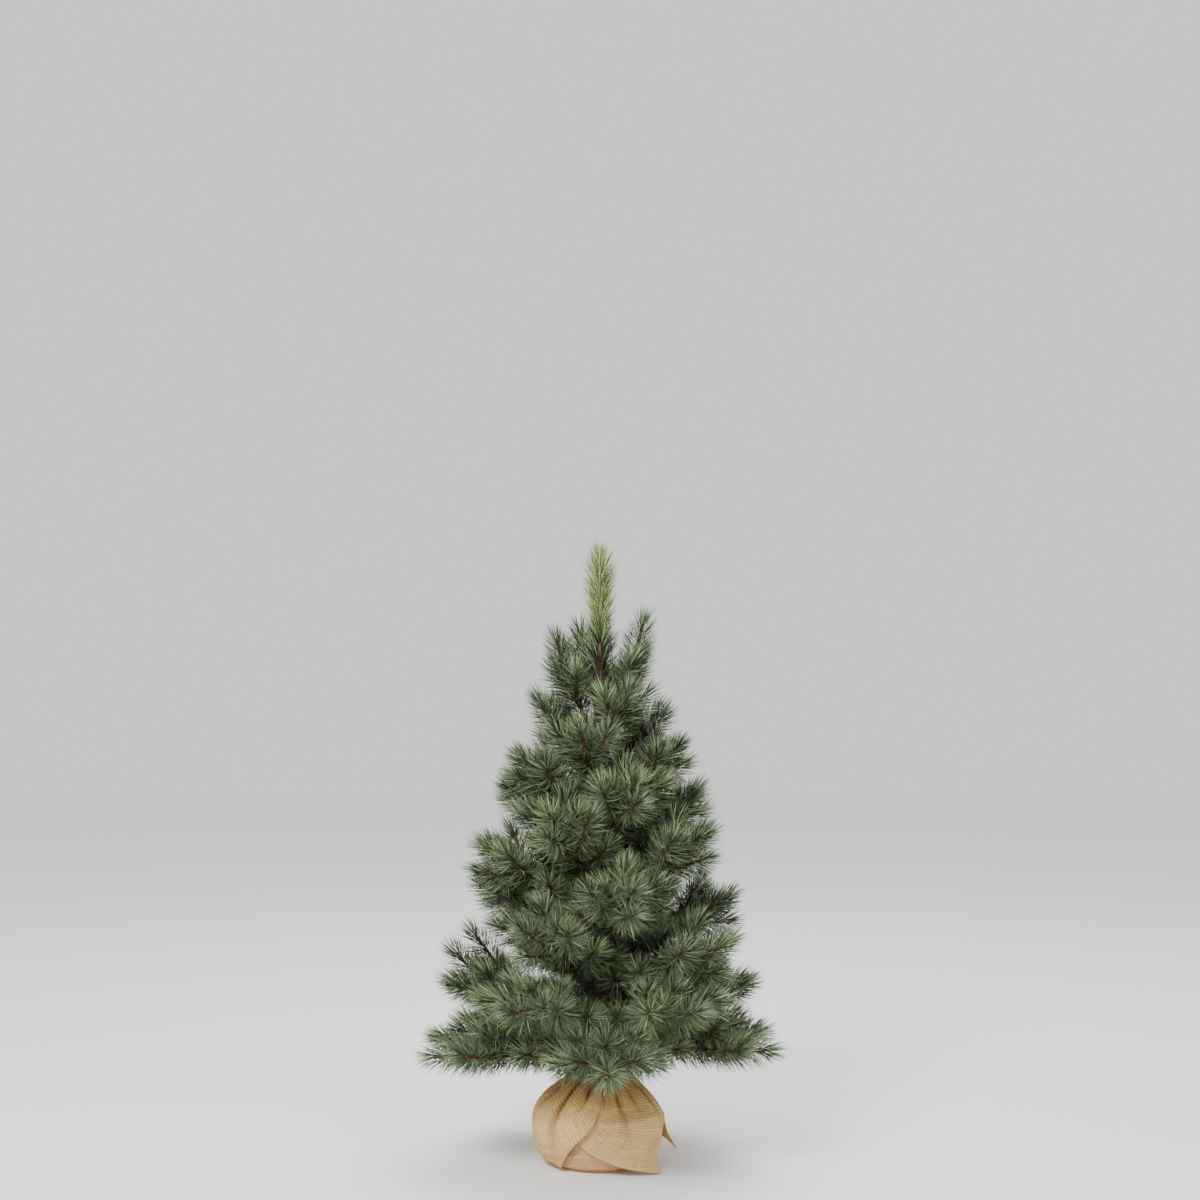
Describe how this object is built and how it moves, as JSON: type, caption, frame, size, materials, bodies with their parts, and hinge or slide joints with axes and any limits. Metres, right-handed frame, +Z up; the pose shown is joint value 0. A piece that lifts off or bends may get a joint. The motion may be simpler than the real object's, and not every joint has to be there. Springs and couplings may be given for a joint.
{
  "type": "artificial tabletop tree",
  "caption": "Artificial tabletop tree with bendable wire branches of green needles on a taped trunk, standing in a weighted pot wrapped in burlap.",
  "frame": {"origin": "on the trunk's axis, at the flat underside of the burlap-wrapped base", "axes": "+Z up along the trunk, -Y towards the front, +X to the right seen from the front"},
  "size_m": [0.3407, 0.3404, 0.6],
  "materials": {
    "cement": "rough cast",
    "pot_plastic": "matte",
    "burlap": "coarse plain weave",
    "jute": "twisted string",
    "steel": "drawn wire",
    "brown_pvc": "brown PVC tape and twisted stems",
    "needles": "grey-green needles, frosted",
    "leader_needles": "yellow-green needles"
  },
  "bodies": {
    "base_and_trunk": {"cement_weight": "cement", "pot": "pot_plastic", "burlap_bag": "burlap", "burlap_fold_left": "burlap", "burlap_flap_right": "burlap", "burlap_flap_rear": "burlap", "jute_tie": "jute", "trunk_rod": "steel", "trunk_tape": "brown_pvc", "leader_sprig": "leader_needles"},
    "branch_01_body": {"branch_01": "needles"},
    "branch_02_body": {"branch_02": "needles"},
    "branch_03_body": {"branch_03": "needles"},
    "branch_04_body": {"branch_04": "needles"},
    "branch_05_body": {"branch_05": "needles"},
    "branch_06_body": {"branch_06": "needles"},
    "branch_07_body": {"branch_07": "needles"},
    "branch_08_body": {"branch_08": "needles"},
    "branch_09_body": {"branch_09": "needles"},
    "branch_10_body": {"branch_10": "needles"},
    "branch_11_body": {"branch_11": "needles"},
    "branch_12_body": {"branch_12": "needles"},
    "branch_13_body": {"branch_13": "needles"},
    "branch_14_body": {"branch_14": "needles"},
    "branch_15_body": {"branch_15": "needles"},
    "branch_16_body": {"branch_16": "needles"},
    "branch_17_body": {"branch_17": "needles"},
    "branch_18_body": {"branch_18": "needles"},
    "branch_19_body": {"branch_19": "needles"},
    "branch_20_body": {"branch_20": "needles"},
    "branch_21_body": {"branch_21": "needles"},
    "branch_22_body": {"branch_22": "needles"},
    "branch_23_body": {"branch_23": "needles"},
    "branch_24_body": {"branch_24": "needles"},
    "branch_25_body": {"branch_25": "needles"},
    "branch_26_body": {"branch_26": "needles"},
    "branch_27_body": {"branch_27": "needles"},
    "branch_28_body": {"branch_28": "needles"},
    "branch_29_body": {"branch_29": "needles"},
    "branch_30_body": {"branch_30": "needles"},
    "branch_31_body": {"branch_31": "needles"},
    "branch_32_body": {"branch_32": "needles"},
    "branch_33_body": {"branch_33": "needles"},
    "branch_34_body": {"branch_34": "needles"},
    "branch_35_body": {"branch_35": "needles"},
    "branch_36_body": {"branch_36": "needles"}
  },
  "joints": [
    {"name": "branch_01_bend", "type": "hinge", "parent": "base_and_trunk", "child": "branch_01_body", "pos_m": [0.0004, -0.00869, 0.11318], "axis": [-0.999, -0.0454, 0], "range_deg": [-20, 14]},
    {"name": "branch_02_bend", "type": "hinge", "parent": "base_and_trunk", "child": "branch_02_body", "pos_m": [0.00835, -0.00243, 0.11191], "axis": [-0.2795, -0.9601, 0], "range_deg": [-20, 14]},
    {"name": "branch_03_bend", "type": "hinge", "parent": "base_and_trunk", "child": "branch_03_body", "pos_m": [0.00499, 0.00712, 0.11029], "axis": [0.8189, -0.574, 0], "range_deg": [-20, 16]},
    {"name": "branch_04_bend", "type": "hinge", "parent": "base_and_trunk", "child": "branch_04_body", "pos_m": [-0.00516, 0.00701, 0.10863], "axis": [0.8053, 0.5928, 0], "range_deg": [-20, 16]},
    {"name": "branch_05_bend", "type": "hinge", "parent": "base_and_trunk", "child": "branch_05_body", "pos_m": [-0.00827, -0.00269, 0.10721], "axis": [-0.3096, 0.9509, 0], "range_deg": [-20, 16]},
    {"name": "branch_06_bend", "type": "hinge", "parent": "base_and_trunk", "child": "branch_06_body", "pos_m": [0.00512, -0.00703, 0.12728], "axis": [-0.8084, -0.5886, 0], "range_deg": [-12, 16]},
    {"name": "branch_07_bend", "type": "hinge", "parent": "base_and_trunk", "child": "branch_07_body", "pos_m": [0.00825, 0.00275, 0.12701], "axis": [0.316, -0.9487, 0], "range_deg": [-12, 20]},
    {"name": "branch_08_bend", "type": "hinge", "parent": "base_and_trunk", "child": "branch_08_body", "pos_m": [-0.00016, 0.0087, 0.12744], "axis": [0.9998, 0.0187, 0], "range_deg": [-14, 20]},
    {"name": "branch_09_bend", "type": "hinge", "parent": "base_and_trunk", "child": "branch_09_body", "pos_m": [-0.00836, 0.00242, 0.1285], "axis": [0.2777, 0.9607, 0], "range_deg": [-16, 20]},
    {"name": "branch_10_bend", "type": "hinge", "parent": "base_and_trunk", "child": "branch_10_body", "pos_m": [-0.00477, -0.00727, 0.13001], "axis": [-0.8359, 0.5489, 0], "range_deg": [-14, 20]},
    {"name": "branch_11_bend", "type": "hinge", "parent": "base_and_trunk", "child": "branch_11_body", "pos_m": [0.00716, -0.00494, 0.158], "axis": [-0.5676, -0.8233, 0], "range_deg": [-16, 10]},
    {"name": "branch_12_bend", "type": "hinge", "parent": "base_and_trunk", "child": "branch_12_body", "pos_m": [-0.00179, 0.00851, 0.16666], "axis": [0.9786, 0.2057, 0], "range_deg": [-20, 12]},
    {"name": "branch_13_bend", "type": "hinge", "parent": "base_and_trunk", "child": "branch_13_body", "pos_m": [-0.00461, -0.00738, 0.1763], "axis": [-0.848, 0.53, 0], "range_deg": [-20, 12]},
    {"name": "branch_14_bend", "type": "hinge", "parent": "base_and_trunk", "child": "branch_14_body", "pos_m": [0.00845, 0.00207, 0.18636], "axis": [0.238, -0.9713, 0], "range_deg": [-16, 14]},
    {"name": "branch_15_bend", "type": "hinge", "parent": "base_and_trunk", "child": "branch_15_body", "pos_m": [-0.00747, 0.00445, 0.19669], "axis": [0.5116, 0.8592, 0], "range_deg": [-20, 14]},
    {"name": "branch_16_bend", "type": "hinge", "parent": "base_and_trunk", "child": "branch_16_body", "pos_m": [0.00217, -0.00842, 0.20724], "axis": [-0.9683, -0.2499, 0], "range_deg": [-20, 14]},
    {"name": "branch_17_bend", "type": "hinge", "parent": "base_and_trunk", "child": "branch_17_body", "pos_m": [0.0044, 0.00751, 0.21795], "axis": [0.8628, -0.5055, 0], "range_deg": [-20, 12]},
    {"name": "branch_18_bend", "type": "hinge", "parent": "base_and_trunk", "child": "branch_18_body", "pos_m": [-0.00841, -0.00223, 0.22881], "axis": [-0.2564, 0.9666, 0], "range_deg": [-20, 12]},
    {"name": "branch_19_bend", "type": "hinge", "parent": "base_and_trunk", "child": "branch_19_body", "pos_m": [0.00756, -0.00431, 0.23979], "axis": [-0.4957, -0.8685, 0], "range_deg": [-20, 10]},
    {"name": "branch_20_bend", "type": "hinge", "parent": "base_and_trunk", "child": "branch_20_body", "pos_m": [-0.0024, 0.00836, 0.25089], "axis": [0.9612, 0.2759, 0], "range_deg": [-20, 10]},
    {"name": "branch_21_bend", "type": "hinge", "parent": "base_and_trunk", "child": "branch_21_body", "pos_m": [-0.00407, -0.00769, 0.26208], "axis": [-0.8837, 0.468, 0], "range_deg": [-18, 10]},
    {"name": "branch_22_bend", "type": "hinge", "parent": "base_and_trunk", "child": "branch_22_body", "pos_m": [0.00825, 0.00276, 0.27337], "axis": [0.3175, -0.9483, 0], "range_deg": [-18, 10]},
    {"name": "branch_23_bend", "type": "hinge", "parent": "base_and_trunk", "child": "branch_23_body", "pos_m": [-0.0079, 0.00365, 0.28474], "axis": [0.4196, 0.9077, 0], "range_deg": [-16, 10]},
    {"name": "branch_24_bend", "type": "hinge", "parent": "base_and_trunk", "child": "branch_24_body", "pos_m": [0.00326, -0.00807, 0.29618], "axis": [-0.9271, -0.3748, 0], "range_deg": [-16, 10]},
    {"name": "branch_25_bend", "type": "hinge", "parent": "base_and_trunk", "child": "branch_25_body", "pos_m": [0.00314, 0.00811, 0.30769], "axis": [0.9325, -0.3611, 0], "range_deg": [-16, 12]},
    {"name": "branch_26_bend", "type": "hinge", "parent": "base_and_trunk", "child": "branch_26_body", "pos_m": [-0.00785, -0.00375, 0.31927], "axis": [-0.4306, 0.9025, 0], "range_deg": [-16, 12]},
    {"name": "branch_27_bend", "type": "hinge", "parent": "base_and_trunk", "child": "branch_27_body", "pos_m": [0.00827, -0.0027, 0.33092], "axis": [-0.3104, -0.9506, 0], "range_deg": [-16, 14]},
    {"name": "branch_28_bend", "type": "hinge", "parent": "base_and_trunk", "child": "branch_28_body", "pos_m": [-0.00408, 0.00768, 0.34262], "axis": [0.8831, 0.4692, 0], "range_deg": [-20, 14]},
    {"name": "branch_29_bend", "type": "hinge", "parent": "base_and_trunk", "child": "branch_29_body", "pos_m": [-0.00244, -0.00835, 0.35437], "axis": [-0.9598, 0.2806, 0], "range_deg": [-20, 16]},
    {"name": "branch_30_bend", "type": "hinge", "parent": "base_and_trunk", "child": "branch_30_body", "pos_m": [0.0076, 0.00423, 0.36618], "axis": [0.4866, -0.8736, 0], "range_deg": [-20, 16]},
    {"name": "branch_31_bend", "type": "hinge", "parent": "base_and_trunk", "child": "branch_31_body", "pos_m": [-0.00838, 0.00235, 0.37804], "axis": [0.2699, 0.9629, 0], "range_deg": [-20, 16]},
    {"name": "branch_32_bend", "type": "hinge", "parent": "base_and_trunk", "child": "branch_32_body", "pos_m": [0.00428, -0.00757, 0.38994], "axis": [-0.8704, -0.4924, 0], "range_deg": [-20, 16]},
    {"name": "branch_33_bend", "type": "hinge", "parent": "base_and_trunk", "child": "branch_33_body", "pos_m": [0.00229, 0.00839, 0.40189], "axis": [0.9648, -0.2631, 0], "range_deg": [-20, 18]},
    {"name": "branch_34_bend", "type": "hinge", "parent": "base_and_trunk", "child": "branch_34_body", "pos_m": [-0.00752, -0.00438, 0.41389], "axis": [-0.5033, 0.8641, 0], "range_deg": [-20, 16]},
    {"name": "branch_35_bend", "type": "hinge", "parent": "base_and_trunk", "child": "branch_35_body", "pos_m": [0.00844, -0.0021, 0.42592], "axis": [-0.2419, -0.9703, 0], "range_deg": [-20, 18]},
    {"name": "branch_36_bend", "type": "hinge", "parent": "base_and_trunk", "child": "branch_36_body", "pos_m": [-0.00463, 0.00737, 0.438], "axis": [0.8468, 0.532, 0], "range_deg": [-20, 20]}
  ]
}
